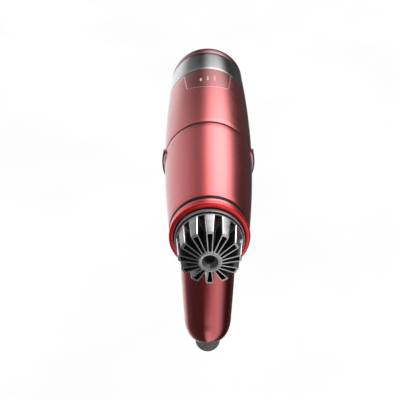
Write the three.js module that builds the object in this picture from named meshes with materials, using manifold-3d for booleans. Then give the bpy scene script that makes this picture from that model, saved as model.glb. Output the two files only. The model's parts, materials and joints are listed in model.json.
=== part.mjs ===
// Handheld car dryer blower: a slim barrel with a twelve-petal outlet mixer, a raked handle, and a filter
// cover that pulls off the back. Millimetres, +Z up. The barrel lies along Y and blows towards -Y. The
// origin is on the barrel axis, on the flat floor of the recess in the mixer's nose.

import * as THREE from "three";
import { mergeVertices } from "three/addons/utils/BufferGeometryUtils.js";
import Module from "manifold-3d";

const wasm = await Module();
wasm.setup();

// ---- Driving dimensions ----

const GAP = 0.3; // between pieces that touch
const ROUND = 32; // segments round a piece that shows
const INNER = 20; // segments round a hidden barrel-sized piece
const SMALL = 14; // segments round a small piece

// The barrel's outline is widest at the belly and curves in towards both ends.
const BELLY_Y = 140;
const BELLY_RADIUS = 28.95;
const FRONT_CURVE = 1190;
const BACK_CURVE = 1650;
const WALL = 2.2;

// Stations along the barrel, front to back.
const NOSE_Y = -5;
const PETAL_TIP_Y = -1.2;
const COLLAR_FRONT_Y = 15;
const BEZEL_FRONT_Y = 18.2;
const GROOVE_FRONT_Y = 24.6;
const GROOVE_BACK_Y = 27.4;
const SEAM_Y = 108.3;
const SEAM_GAP = 1.2; // the dark sleeve shows between the two tubes
const BAND_FRONT_Y = 192.5;
const BAND_BACK_Y = 224.5;
const BARREL_BACK_Y = 234.5;

// The inlet frame inside the chrome band, and the filter parts inside the cover behind it.
const INLET_RADIUS = 25;
const INLET_BACK_Y = 205.5;
const FILTER_RADIUS = 22.6;

// The status window in the top of the barrel.
const WINDOW_FRONT_Y = 170;
const WINDOW_HALF_WIDTH = 14.3;
const WINDOW_TAPER = 2.2;
const WINDOW_THICKNESS = 0.85;

// The outlet mixer.
const PETALS = 12;
const MIXER_BACK_Y = GROOVE_FRONT_Y - 0.2;
const MIXER_FLANGE = 1.4; // both its thickness and how far it stands out
const NOSE_RADIUS = 6.7;
const RECESS_RADIUS = 4.6;
const RECESS_FLOOR_RADIUS = 1.7;
const RECESS_CONE_DEPTH = 3.1;
const PETAL_TIP_RADIUS = 17.8;
const PETAL_BASE_RADIUS = 19.1;
const PETAL_WIDTH = 4.4;
const PETAL_ROOT_WIDTH = 2.8;
const PETAL_SKIN = 0.75;

// The handle leans so that its lower end is nearer the outlet.
const HANDLE_Y = 135;
const HANDLE_LEAN = THREE.MathUtils.degToRad(6);
const HANDLE_RADIUS = 21.1;
const HANDLE_CURVE = 1700;
const HANDLE_NECK = 30; // where the handle leaves the barrel, measured down its axis
const COLLAR_END = 42;
const SPIGOT_RADIUS = 17.9;
const GRIP_END = 142.5;
const HANDLE_END = 157.8;
const HANDLE_END_RADIUS = 9.6;
const GLAND_RADIUS = 9.35;
const GLAND_NECK_RADIUS = 6.6;
const GLAND_STRAIGHT = 3.4; // how far below the handle's end the gland's round bottom starts
const CORD_HOLE_RADIUS = 4.2;

// The saddle that wraps the barrel's underside.
const SADDLE_RADIUS = 30.25;
const SADDLE_EAR_Z = 8;
const SADDLE_FRONT_Y = 105.8;
const SADDLE_BACK_Y = 160;
const TRIM_LENGTH = 1;

// The controls on the back of the handle, measured down its axis.
const PANEL_TOP = 52;
const PANEL_BOTTOM = 110;
const PANEL_WIDTH = 14;
const SLIDER_AT = 66;
const SLIDER_TRAVEL = 7;
const BUTTONS = [["speed", 81], ["heat", 92], ["cool", 103]];
const BUTTON_RADIUS = 4.2;
const BUTTON_TRAVEL = 1.5;
const BOARD_Z = -7.8;
const BOARD_HALF = 0.8; // half the circuit board's thickness
const POWER_SWITCH_HEIGHT = 2.2;
const HANDLE_SCREWS = [118, 136];
const SCREW_SEAT = 1.3; // depth of the flat that a screw's head rests on

// The mica cross that the heater coil is wound round.
const CROSS_HALF_WIDTH = 15.2;

// The fan and its motor.
const SHROUD_RADIUS = 24.3;
const DUCT_RADIUS = 22.9;
const CAN_RADIUS = 13.3;
const SHAFT_RADIUS = 1.5;
const BEARING_SEAT_RADIUS = 4.3;
const BORE_RADIUS = 1.8; // in the impeller and the magnet, round the shaft
const BLADES = 7;
const VANES = 9;
const SHROUD_FRONT_Y = 118;
const CAN_FRONT_Y = 121;
const CAN_BACK_Y = 147;
const STATOR_Y = 134;
const STATOR_LENGTH = 12;
const TOOTH_MIDDLE = 8.4;
const TOOTH_WIDTH = 4;

// ---- Materials ----

const plain = (color, roughness, metalness) =>
  new THREE.MeshStandardMaterial({ color, roughness, metalness });

const redPaint = plain(0x9c2a2e, 0.32, 0.6);
const redGloss = plain(0xd8262b, 0.2, 0.1);
const chrome = plain(0xc9ccce, 0.12, 1);
const gunmetal = plain(0x6e7173, 0.25, 0.9);
const blackPlastic = plain(0x1b1b1d, 0.45, 0);
const darkRubber = plain(0x4a4a48, 0.75, 0);
const windowPlastic = plain(0x7d2428, 0.1, 0);
const steel = plain(0xa8aaad, 0.35, 1);
const copper = plain(0xb5632e, 0.3, 1);
const mica = plain(0xc8bb98, 0.8, 0);
const board = plain(0x1f5a36, 0.5, 0);
const foam = plain(0x303236, 0.95, 0);
const magnetSteel = plain(0x55575a, 0.4, 0.9);
const coolBlue = plain(0x2f6fa8, 0.35, 0);

// ---- Solids ----

// A closed manifold-3d solid with its faces out, from a three.js geometry.
function solidOf(geometry) {
  const loose = geometry.index ? geometry.toNonIndexed() : geometry;
  const bare = new THREE.BufferGeometry().setAttribute("position", loose.getAttribute("position"));
  const merged = mergeVertices(bare, 1e-4);
  const corners = Array.from(merged.index.array);
  const triangles = [];
  for (let i = 0; i < corners.length; i += 3) {
    const [a, b, c] = corners.slice(i, i + 3);
    if (a !== b && b !== c && c !== a) triangles.push([a, b, c]);
  }
  const build = (list) =>
    new wasm.Manifold(
      new wasm.Mesh({
        numProp: 3,
        vertProperties: merged.attributes.position.array,
        triVerts: new Uint32Array(list.flat()),
      }),
    );
  const made = build(triangles);
  return made.volume() > 0 ? made : build(triangles.map(([a, b, c]) => [a, c, b]));
}

function geometryOf(solid) {
  const { numProp, numVert, vertProperties, triVerts } = solid.getMesh();
  const positions = new Float32Array(numVert * 3);
  for (let i = 0; i < numVert; i++) {
    positions.set(vertProperties.subarray(i * numProp, i * numProp + 3), i * 3);
  }
  return new THREE.BufferGeometry()
    .setAttribute("position", new THREE.BufferAttribute(positions, 3))
    .setIndex(new THREE.BufferAttribute(triVerts, 1));
}

const combine = (how, first, others) =>
  geometryOf(others.reduce((sum, next) => sum[how](solidOf(next)), solidOf(first)));
const join = (first, ...others) => combine("add", first, others);
const cut = (first, ...others) => combine("subtract", first, others);
const overlap = (first, ...others) => combine("intersect", first, others);

// A solid turned about Y from [radius, y] points. A profile that leaves the axis closes on itself.
function turned(profile, segments = ROUND) {
  const onAxis = profile[0][0] === 0 && profile.at(-1)[0] === 0;
  const loop = onAxis ? profile : [...profile, profile[0]];
  const points = loop.map(([radius, y]) => new THREE.Vector2(radius, y));
  return geometryOf(solidOf(new THREE.LatheGeometry(points, segments)));
}

const ring = (inner, outer, y0, y1, segments = INNER) =>
  turned([[inner, y0], [outer, y0], [outer, y1], [inner, y1]], segments);

const rod = (radius, y0, y1, segments = SMALL) =>
  turned([[0, y0], [radius, y0], [radius, y1], [0, y1]], segments);

const box = (x, y, z, width, length, height) =>
  new THREE.BoxGeometry(width, length, height).translate(x, y, z);

// A rod along Z with its centre at x, y.
const pin = (radius, x, y, z0, z1, segments = SMALL) =>
  rod(radius, z0, z1, segments).rotateX(Math.PI / 2).translate(x, y, 0);

// Evenly spaced numbers from one end to the other.
const steps = (from, to, count) =>
  Array.from({ length: count + 1 }, (_, i) => from + ((to - from) * i) / count);

// Copies of a geometry turned round the barrel axis.
const around = (count, geometry) =>
  steps(0, 2 * Math.PI, count).slice(0, -1).map((angle) => geometry.clone().rotateY(angle));

const outline = (y) =>
  BELLY_RADIUS - (y - BELLY_Y) ** 2 / (2 * (y < BELLY_Y ? FRONT_CURVE : BACK_CURVE));

// A tube between two stations whose outside follows the barrel's outline.
function barrelTube(y0, y1, wall, count, lift = 0) {
  const outside = steps(y0, y1, count).map((y) => [outline(y) + lift, y]);
  const inside = outside.map(([radius, y]) => [radius - wall, y]).reverse();
  return turned([...outside, ...inside]);
}

// A flat shape in X and Y with round ends, pushed along Z.
function obround(width, length, z0, z1) {
  const half = width / 2;
  const run = length / 2 - half;
  const shape = new THREE.Shape();
  shape.absarc(0, run, half, 0, Math.PI);
  shape.absarc(0, -run, half, Math.PI, 2 * Math.PI);
  const options = { depth: z1 - z0, bevelEnabled: false, curveSegments: 8 };
  return new THREE.ExtrudeGeometry(shape, options).translate(0, 0, z0);
}

const blower = new THREE.Group();
const handle = new THREE.Group();
handle.position.y = HANDLE_Y;
handle.rotation.x = Math.PI / 2 - HANDLE_LEAN;
blower.add(handle);
blower.updateMatrixWorld(true);
const toHandle = handle.matrixWorld.clone().invert();

function add(name, geometry, material, parent = blower) {
  const mesh = new THREE.Mesh(geometry, material);
  mesh.name = name;
  parent.add(mesh);
  return mesh;
}

// ---- The outlet nozzle ----

// One petal: a block that spans the given radii, narrower at its root.
function petal(rootRadius, tipRadius, baseRadius, rootWidth, tipWidth, frontDrop, backY) {
  const block = new THREE.BoxGeometry(1, 1, 1);
  const corner = block.getAttribute("position");
  for (let i = 0; i < corner.count; i++) {
    const outer = corner.getZ(i) > 0;
    const back = corner.getY(i) > 0;
    const side = Math.sign(corner.getX(i));
    const frontY = outer ? PETAL_TIP_Y + frontDrop : NOSE_Y + frontDrop;
    const outerRadius = back ? baseRadius : tipRadius;
    corner.setXYZ(
      i,
      (side * (outer ? tipWidth : rootWidth)) / 2,
      back ? backY : frontY,
      outer ? outerRadius : rootRadius,
    );
  }
  return block;
}

function outletMixer() {
  const coneBackY = 20;
  const coneRadius = PETAL_BASE_RADIUS - 0.2;
  const flangeY = MIXER_BACK_Y - MIXER_FLANGE;
  const flangeRadius = PETAL_BASE_RADIUS + MIXER_FLANGE;
  const outside = join(
    turned([
      [0, NOSE_Y],
      [NOSE_RADIUS, NOSE_Y],
      [coneRadius, coneBackY],
      [coneRadius, flangeY],
      [flangeRadius, flangeY],
      [flangeRadius, MIXER_BACK_Y],
      [0, MIXER_BACK_Y],
    ]),
    ...around(
      PETALS,
      petal(
        3, PETAL_TIP_RADIUS, PETAL_BASE_RADIUS, PETAL_ROOT_WIDTH - 0.6, PETAL_WIDTH, 0, flangeY + 0.5,
      ),
    ),
  );
  const hollowFrontY = 3;
  const hollow = turned([
    [0, hollowFrontY + 8],
    [NOSE_RADIUS - 1, hollowFrontY + 2],
    [PETAL_BASE_RADIUS - 1.4, coneBackY + 0.6],
    [PETAL_BASE_RADIUS - 1.4, MIXER_BACK_Y + 1],
    [0, MIXER_BACK_Y + 1],
  ]);
  const slots = around(
    PETALS,
    petal(
      NOSE_RADIUS,
      PETAL_TIP_RADIUS - PETAL_SKIN,
      PETAL_BASE_RADIUS - PETAL_SKIN - 0.2,
      PETAL_ROOT_WIDTH - 2 * PETAL_SKIN,
      PETAL_WIDTH - 2 * PETAL_SKIN,
      -2,
      coneBackY,
    ),
  );
  const recess = turned([
    [0, 0],
    [RECESS_FLOOR_RADIUS, 0],
    [RECESS_FLOOR_RADIUS, NOSE_Y + RECESS_CONE_DEPTH],
    [RECESS_RADIUS, NOSE_Y],
    [RECESS_RADIUS, NOSE_Y - 1],
    [0, NOSE_Y - 1],
  ], SMALL);
  return cut(outside, hollow, ...slots, recess);
}

function mixerCollar() {
  const backY = MIXER_BACK_Y - MIXER_FLANGE - GAP;
  return turned([
    [PETAL_BASE_RADIUS + 0.3, COLLAR_FRONT_Y],
    [PETAL_BASE_RADIUS + 0.7, COLLAR_FRONT_Y],
    [PETAL_BASE_RADIUS + 1.5, BEZEL_FRONT_Y + 0.4],
    [PETAL_BASE_RADIUS + 1.5, backY],
    [PETAL_BASE_RADIUS + 0.3, backY],
  ]);
}

function outletBezel() {
  const radius = outline(GROOVE_FRONT_Y);
  const lip = 1.1;
  const rounding = steps(0, Math.PI / 2, 3).map((angle) => [
    radius - lip + lip * Math.sin(angle),
    BEZEL_FRONT_Y + lip - lip * Math.cos(angle),
  ]);
  return turned([
    [PETAL_BASE_RADIUS + 1.8, BEZEL_FRONT_Y],
    ...rounding,
    [radius, GROOVE_FRONT_Y],
    [PETAL_BASE_RADIUS + 1.8, GROOVE_FRONT_Y],
  ]);
}

function snapRing() {
  const outer = outline(GROOVE_BACK_Y) - 0.6;
  const mouth = outline(GROOVE_BACK_Y) - WALL - GAP;
  const bore = 18.4;
  const spigotBackY = GROOVE_BACK_Y + 4;
  return turned([
    [bore, GROOVE_FRONT_Y + GAP],
    [outer, GROOVE_FRONT_Y + GAP],
    [outer, GROOVE_BACK_Y - GAP],
    [mouth, GROOVE_BACK_Y - GAP],
    [mouth, spigotBackY],
    [bore, spigotBackY],
  ]);
}

add("outlet_mixer", outletMixer(), gunmetal);
add("mixer_collar", mixerCollar(), gunmetal);
add("outlet_bezel", outletBezel(), redGloss);
add("nozzle_snap_ring", snapRing(), blackPlastic);

// ---- The barrel ----

// The window in the top of the rear shell, as a column that narrows a little towards its rounded front.
function windowColumn(spare) {
  const frontY = WINDOW_FRONT_Y - spare;
  const half = WINDOW_HALF_WIDTH + spare;
  const corner = 3;
  const shape = new THREE.Shape();
  shape.moveTo(-half - WINDOW_TAPER, BAND_FRONT_Y);
  shape.lineTo(half + WINDOW_TAPER, BAND_FRONT_Y);
  shape.absarc(half - corner, frontY + corner, corner, 0, -Math.PI / 2, true);
  shape.absarc(-half + corner, frontY + corner, corner, -Math.PI / 2, -Math.PI, true);
  const options = { depth: BELLY_RADIUS, bevelEnabled: false, curveSegments: 4 };
  return new THREE.ExtrudeGeometry(shape, options).translate(0, 0, 10);
}

function rearShell() {
  const room = barrelTube(WINDOW_FRONT_Y - 10, BAND_FRONT_Y + 1, WINDOW_THICKNESS + 0.45, 4, 0.1);
  const pocket = overlap(room, windowColumn(GAP));
  const wireHole = rod(11, -HANDLE_NECK - 5, -15).applyMatrix4(handle.matrixWorld);
  return cut(barrelTube(SEAM_Y + SEAM_GAP, BAND_FRONT_Y - GAP, WALL, 7), pocket, wireHole);
}

function statusWindow() {
  const skin = barrelTube(WINDOW_FRONT_Y - 10, BAND_FRONT_Y - GAP, WINDOW_THICKNESS, 4);
  return overlap(skin, windowColumn(0));
}

function chromeBand() {
  const chamfer = 0.7;
  const front = BAND_FRONT_Y;
  const back = BAND_BACK_Y;
  const bore = INLET_RADIUS + GAP;
  const outside = steps(front + chamfer, back - chamfer, 2).map((y) => [outline(y), y]);
  return turned([
    [outline(front) - chamfer, front],
    ...outside,
    [outline(back) - chamfer, back],
    [bore, back],
    [bore, front],
  ]);
}

function inletFrame() {
  const guardY = 197;
  const half = 0.8; // half the thickness of the guard's bars
  const bore = INLET_RADIUS - 1.4;
  const tube = ring(bore, INLET_RADIUS, 186, INLET_BACK_Y);
  const spokes = [0, Math.PI / 3, -Math.PI / 3].map((angle) =>
    box(0, guardY, 0, 2 * bore + half, 2 * half, 2 * half).rotateY(angle),
  );
  const loops = [8, 16].map((radius) =>
    ring(radius - half, radius + half, guardY - half, guardY + half),
  );
  return join(tube, ...spokes, ...loops);
}

add("front_barrel_shell", barrelTube(GROOVE_BACK_Y, SEAM_Y, WALL, 4), redPaint);
add("rear_barrel_shell", rearShell(), redPaint);
const sleeve = ring(SHROUD_RADIUS, SHROUD_RADIUS + 1.2, SEAM_Y - 10, SHROUD_FRONT_Y - 1);
add("barrel_joint_sleeve", sleeve, blackPlastic);
add("status_window", statusWindow(), windowPlastic);
add("chrome_intake_band", chromeBand(), chrome);
add("inlet_frame", inletFrame(), blackPlastic);
add("inlet_foam", ring(17, 25.6, 170, 185.5), foam);

// ---- The filter cover ----

function filterCover() {
  const front = BAND_BACK_Y + GAP;
  const corner = 1.6;
  const rim = outline(BARREL_BACK_Y);
  const bore = FILTER_RADIUS + GAP;
  const spigot = INLET_RADIUS - 0.4;
  const spigotFrontY = INLET_BACK_Y + 1.5;
  const rounding = steps(0, Math.PI / 2, 3).map((angle) => [
    rim - corner + corner * Math.cos(angle),
    BARREL_BACK_Y - corner + corner * Math.sin(angle),
  ]);
  return turned([
    [bore, spigotFrontY],
    [spigot, spigotFrontY],
    [spigot, front],
    [outline(front), front],
    ...rounding,
    [bore + 0.7, BARREL_BACK_Y],
    [bore, BARREL_BACK_Y - 0.7],
  ]);
}

// A disc with two rings of air slots round a plain middle.
function filterGrille() {
  const backY = BARREL_BACK_Y - 1.2;
  const slot = (inner, outer, width) =>
    box(0, backY, (inner + outer) / 2, width, 8, outer - inner);
  return cut(
    rod(FILTER_RADIUS, backY - 2, backY, ROUND),
    ...around(PETALS, slot(7.5, 13, 2.6)),
    ...around(PETALS, slot(14.5, 20.8, 4.4)),
  );
}

add("filter_cover", filterCover(), redPaint);
add("filter_grille", filterGrille(), gunmetal);
const meshBackY = BARREL_BACK_Y - 5.2;
add("filter_mesh", rod(FILTER_RADIUS, meshBackY - 0.8, meshBackY, ROUND), steel);
const clip = ring(FILTER_RADIUS - 2.2, FILTER_RADIUS, meshBackY - 3.3, meshBackY - 1.1);
add("filter_mesh_clip", clip, blackPlastic);

// ---- The saddle and the handle ----

const handleOutline = (down) => HANDLE_RADIUS - (down - HANDLE_NECK) ** 2 / (2 * HANDLE_CURVE);

// The handle's profile as [radius, y] points, from the top down to its rounded end.
function gripProfile(top, inset) {
  const sides = steps(top, GRIP_END, 5).map((down) => [handleOutline(down) - inset, -down]);
  const endRadius = HANDLE_END_RADIUS - inset;
  const reach = handleOutline(GRIP_END) - HANDLE_END_RADIUS;
  const drop = HANDLE_END - GRIP_END - inset;
  const end = steps(0, Math.PI / 2, 4).slice(1).map((angle) => [
    endRadius + reach * Math.cos(angle),
    -GRIP_END - drop * Math.sin(angle),
  ]);
  return [[0, -top], ...sides, ...end, [0, -GRIP_END - drop]];
}

// The side view of the saddle as a block across the barrel: ears at the front that sweep down to the back.
function saddleSide() {
  const shape = new THREE.Shape();
  const low = -45;
  const front = SADDLE_FRONT_Y + TRIM_LENGTH + GAP;
  shape.moveTo(front, low);
  shape.lineTo(front, SADDLE_EAR_Z);
  shape.quadraticCurveTo(front + 16, SADDLE_EAR_Z - 3, front + 32, -14);
  shape.quadraticCurveTo(SADDLE_BACK_Y - 8, -24, SADDLE_BACK_Y, low);
  const options = { depth: 80, bevelEnabled: false, curveSegments: 6 };
  return new THREE.ExtrudeGeometry(shape, options)
    .applyMatrix4(new THREE.Matrix4().set(0, 0, 1, -40, 1, 0, 0, 0, 0, 1, 0, 0, 0, 0, 0, 1));
}

// The space the barrel fills, with a gap round it.
function barrelSpace() {
  const stations = steps(80, 180, 5).map((y) => [outline(y) + GAP, y]);
  return turned([[0, 80], ...stations, [0, 180]]);
}

function saddle() {
  const wrap = overlap(rod(SADDLE_RADIUS, SADDLE_FRONT_Y, SADDLE_BACK_Y + 5, ROUND), saddleSide());
  const neckTop = -20;
  const neck = turned([
    [0, neckTop],
    [HANDLE_RADIUS + 0.3, neckTop],
    [HANDLE_RADIUS + 0.3, -HANDLE_NECK - 4],
    [handleOutline(COLLAR_END), -COLLAR_END],
    [0, -COLLAR_END],
  ]).applyMatrix4(handle.matrixWorld);
  const socket = rod(SPIGOT_RADIUS + GAP, -COLLAR_END - 5, neckTop + 5, ROUND).applyMatrix4(
    handle.matrixWorld,
  );
  return cut(join(wrap, neck), barrelSpace(), socket);
}

// The dark trim round the saddle's front edge.
function saddleTrim() {
  const back = SADDLE_FRONT_Y + TRIM_LENGTH;
  const band = ring(outline(back) + GAP, SADDLE_RADIUS, SADDLE_FRONT_Y, back, ROUND);
  return overlap(band, box(0, back, SADDLE_EAR_Z - 30, 70, 10, 60));
}

add("handle_saddle", saddle(), redPaint);
add("saddle_trim", saddleTrim(), blackPlastic);

// The tube that both handle shells are cut from, with the spigot that goes up into the saddle.
function gripTube() {
  const spigot = rod(SPIGOT_RADIUS, -COLLAR_END - 5, -HANDLE_NECK - 1, INNER);
  const outside = join(turned(gripProfile(COLLAR_END + GAP, 0)), spigot);
  const inside = turned(gripProfile(COLLAR_END + 3, WALL));
  const throat = rod(SPIGOT_RADIUS - 1.7, -COLLAR_END - 10, -20, INNER);
  const glandHole = rod(GLAND_NECK_RADIUS + 0.4, -HANDLE_END - 5, -GRIP_END);
  const barrel = barrelSpace().applyMatrix4(toHandle);
  return cut(outside, inside, throat, glandHole, barrel);
}

const tube = gripTube();
const halfGap = GAP / 2;
const frontHalf = box(0, -95, 30 + halfGap, 80, 200, 60);
const backHalf = box(0, -95, -30 - halfGap, 80, 200, 60);
const panelMiddle = -(PANEL_TOP + PANEL_BOTTOM) / 2;
const panelLength = PANEL_BOTTOM - PANEL_TOP;

function handleFront() {
  const room = overlap(turned(gripProfile(COLLAR_END + 3, 1)), frontHalf);
  const bosses = HANDLE_SCREWS.map((down) => overlap(pin(3.2, 0, -down, 1, 40), room));
  const pilots = HANDLE_SCREWS.map((down) => pin(1.6, 0, -down, 0, 12));
  return cut(join(overlap(tube, frontHalf), ...bosses), ...pilots);
}

function handleBack() {
  const opening = obround(PANEL_WIDTH, panelLength, -30, -5).translate(0, panelMiddle, 0);
  const seats = HANDLE_SCREWS.map((down) => pin(3.2, 0, -down, -30, -handleOutline(down) + SCREW_SEAT));
  const holes = HANDLE_SCREWS.map((down) => pin(1.6, 0, -down, -30, -5));
  return cut(overlap(tube, backHalf), opening, ...seats, ...holes);
}

// The control panel follows the handle's back, a little below its surface.
function controlPanel() {
  const skin = cut(turned(gripProfile(COLLAR_END, 0.3)), turned(gripProfile(COLLAR_END - 1, 2.1)));
  const flat = obround(PANEL_WIDTH - 2 * GAP, panelLength - 2 * GAP, -30, -5);
  const column = flat.translate(0, panelMiddle, 0);
  const sliderSlot = box(0, -SLIDER_AT + SLIDER_TRAVEL / 2, -20, 5, SLIDER_TRAVEL + 8, 20);
  const holes = BUTTONS.map(([, down]) => pin(BUTTON_RADIUS + GAP, 0, -down, -30, -5));
  return cut(overlap(skin, column), sliderSlot, ...holes);
}

function button(down) {
  const proud = handleOutline(down) + 0.9;
  const innerFace = handleOutline(down) - 3.7;
  return join(
    pin(BUTTON_RADIUS, 0, -down, -proud, -innerFace + 0.5),
    pin(BUTTON_RADIUS + 0.9, 0, -down, -innerFace - 0.2, -innerFace + 1),
    pin(1.8, 0, -down, -innerFace, BOARD_Z - 2.8 - BUTTON_TRAVEL - 0.5),
  );
}

function slider() {
  const surface = -handleOutline(SLIDER_AT);
  const stemEnd = BOARD_Z - BOARD_HALF - POWER_SWITCH_HEIGHT - 3 * GAP;
  const stemStart = surface - 0.5;
  return join(
    box(0, -SLIDER_AT, surface - 0.9, 7, 8, 1.2),
    box(0, -SLIDER_AT, (stemStart + stemEnd) / 2, 4.4, 6, stemEnd - stemStart),
    box(0, -SLIDER_AT, surface + 3.5, 8, 8, 1),
  );
}

// A screw pushed in from the back of the handle, with its slotted head below the surface.
function handleScrew(down) {
  const seat = -handleOutline(down) + SCREW_SEAT - GAP;
  const top = seat - 0.9;
  const driverSlot = box(0, -down, top, 0.8, 3.8, 1);
  return cut(join(pin(2.7, 0, -down, top, seat), pin(1.25, 0, -down, seat - 0.5, 11)), driverSlot);
}

// A round rubber bowl under the handle, with a flange inside the shells that it swivels on.
function cordGland() {
  const bowlTop = -HANDLE_END - GLAND_STRAIGHT;
  const lipAngle = Math.acos((CORD_HOLE_RADIUS + 1.2) / GLAND_RADIUS);
  const bowl = steps(lipAngle, 0, 5).map((angle) => [
    GLAND_RADIUS * Math.cos(angle),
    bowlTop - GLAND_RADIUS * Math.sin(angle),
  ]);
  const flangeRadius = GLAND_NECK_RADIUS + 1.8;
  const shellFloor = -HANDLE_END + WALL;
  return turned([
    [CORD_HOLE_RADIUS, bowl[0][1]],
    ...bowl,
    [GLAND_RADIUS, -HANDLE_END - GAP],
    [GLAND_NECK_RADIUS, -HANDLE_END - GAP],
    [GLAND_NECK_RADIUS, shellFloor + GAP],
    [flangeRadius, shellFloor + 0.8],
    [flangeRadius, shellFloor + 2.3],
    [CORD_HOLE_RADIUS, shellFloor + 2.3],
  ], SMALL);
}

add("handle_front_shell", handleFront(), redPaint, handle);
add("handle_back_shell", handleBack(), redPaint, handle);
add("control_panel", controlPanel(), blackPlastic, handle);
add("power_slider", slider(), gunmetal, handle);
for (const [name, down] of BUTTONS) {
  add(`${name}_button`, button(down), name === "cool" ? coolBlue : gunmetal, handle);
}
HANDLE_SCREWS.forEach((down, i) => add(`handle_screw_${i + 1}`, handleScrew(down), steel, handle));
add("cord_gland", cordGland(), darkRubber, handle);

// ---- Inside the handle ----

const boardFront = BOARD_Z + BOARD_HALF + GAP;
const boardBack = BOARD_Z - BOARD_HALF - GAP;
add("control_board", box(0, -78, BOARD_Z, 22, 60, 2 * BOARD_HALF), board, handle);
for (const [name, down] of BUTTONS) {
  add(`${name}_switch`, box(0, -down, boardBack - 0.9, 6, 6, 1.8), blackPlastic, handle);
}
const powerSwitchZ = boardBack - POWER_SWITCH_HEIGHT / 2;
add("power_switch", box(0, -SLIDER_AT, powerSwitchZ, 8, 18, POWER_SWITCH_HEIGHT), blackPlastic, handle);
const canRadius = 5.5;
const capacitor = rod(canRadius, -72, -58).translate(0, 0, boardFront + canRadius);
add("filter_capacitor", capacitor, blackPlastic, handle);
add("ion_module", box(0, -92, boardFront + 4, 14, 18, 8), blackPlastic, handle);
add("terminal_block", box(0, -128, 0, 12, 8, 8), blackPlastic, handle);

// ---- The heater ----

function heaterCoil() {
  const turns = 5;
  const radius = CROSS_HALF_WIDTH + 1;
  const firstY = 42;
  const pitch = 8;
  const points = steps(0, turns, turns * 12).map((turn) => {
    const angle = 2 * Math.PI * turn;
    return new THREE.Vector3(radius * Math.cos(angle), firstY + pitch * turn, radius * Math.sin(angle));
  });
  const wire = new THREE.Shape().absarc(0, 0, 0.45, 0, 2 * Math.PI);
  return new THREE.ExtrudeGeometry(wire, {
    steps: turns * 12,
    curveSegments: 2,
    extrudePath: new THREE.CatmullRomCurve3(points),
  });
}

add("heater_sleeve", ring(20.2, 21, 34, 90), mica);
const crossBoard = box(0, 62, 0, 2 * CROSS_HALF_WIDTH, 48, 0.8);
add("heater_cross", join(crossBoard, crossBoard.clone().rotateY(Math.PI / 2)), mica);
add("heater_coil", heaterCoil(), steel);
add("thermal_cutout", box(6.5, 74, 6.5, 6, 10, 6), steel);

// ---- The motor and the fan ----

// Flat blades set at an angle round the axis, trimmed to a ring between two radii.
function blades(count, middleY, length, pitch, inner, outer) {
  const width = outer - inner + 3;
  const blade = new THREE.BoxGeometry(1.1, length, width)
    .rotateZ(pitch)
    .translate(0, middleY, (inner + outer) / 2);
  return around(count, blade);
}

function fanShroud() {
  const vaneY = SHROUD_FRONT_Y + 12;
  const hub = ring(CAN_RADIUS + GAP, CAN_RADIUS + 1.3, CAN_FRONT_Y + 1, CAN_BACK_Y - 1);
  const vanes = blades(VANES, vaneY, 12, -0.5, CAN_RADIUS + 1, DUCT_RADIUS);
  const room = ring(CAN_RADIUS + 0.6, DUCT_RADIUS + 0.6, vaneY - 10, vaneY + 10);
  const trimmed = vanes.map((vane) => overlap(vane, room));
  const duct = ring(DUCT_RADIUS, SHROUD_RADIUS, SHROUD_FRONT_Y, SHROUD_FRONT_Y + 47);
  return join(duct, hub, ...trimmed);
}

function impeller() {
  const front = CAN_BACK_Y + 2;
  const middle = front + 6;
  const back = front + 14;
  const hub = turned([
    [BORE_RADIUS, front],
    [13, front],
    [12, middle],
    [8, back - 2],
    [3.5, back],
    [BORE_RADIUS, back],
  ], SMALL);
  const reach = DUCT_RADIUS - 0.5;
  const room = ring(3.2, reach, front - 1, back + 1);
  const set = blades(BLADES, middle, 13, 0.7, 3, reach).map((blade) => overlap(blade, room));
  const bore = rod(BORE_RADIUS, front - 5, back + 5);
  return cut(join(hub, ...set), bore);
}

// A ring with three teeth pointing in.
function statorCore() {
  const half = STATOR_LENGTH / 2;
  const tooth = box(0, STATOR_Y, TOOTH_MIDDLE, TOOTH_WIDTH, STATOR_LENGTH, 6);
  const core = ring(10.4, 12, STATOR_Y - half, STATOR_Y + half, SMALL);
  return join(core, ...around(3, tooth));
}

function statorCoil() {
  const outer = box(0, STATOR_Y, TOOTH_MIDDLE - 0.5, TOOTH_WIDTH + 2.6, STATOR_LENGTH + 2.6, 3);
  const tooth = box(
    0, STATOR_Y, TOOTH_MIDDLE, TOOTH_WIDTH + 2 * GAP, STATOR_LENGTH + 2 * GAP, 8,
  );
  return cut(outer, tooth);
}

function motorCan() {
  const bore = CAN_RADIUS - 1;
  const floor = CAN_FRONT_Y + 1.5;
  return turned([
    [BEARING_SEAT_RADIUS, CAN_FRONT_Y],
    [CAN_RADIUS, CAN_FRONT_Y],
    [CAN_RADIUS, CAN_BACK_Y],
    [bore, CAN_BACK_Y],
    [bore, floor],
    [BEARING_SEAT_RADIUS, floor],
  ], INNER);
}

const bearing = (front) => ring(1.7, BEARING_SEAT_RADIUS - GAP, front, front + 3.2, SMALL);
const damper = (front) => ring(SHROUD_RADIUS + GAP, SHROUD_RADIUS + 1.7, front, front + 4);

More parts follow.
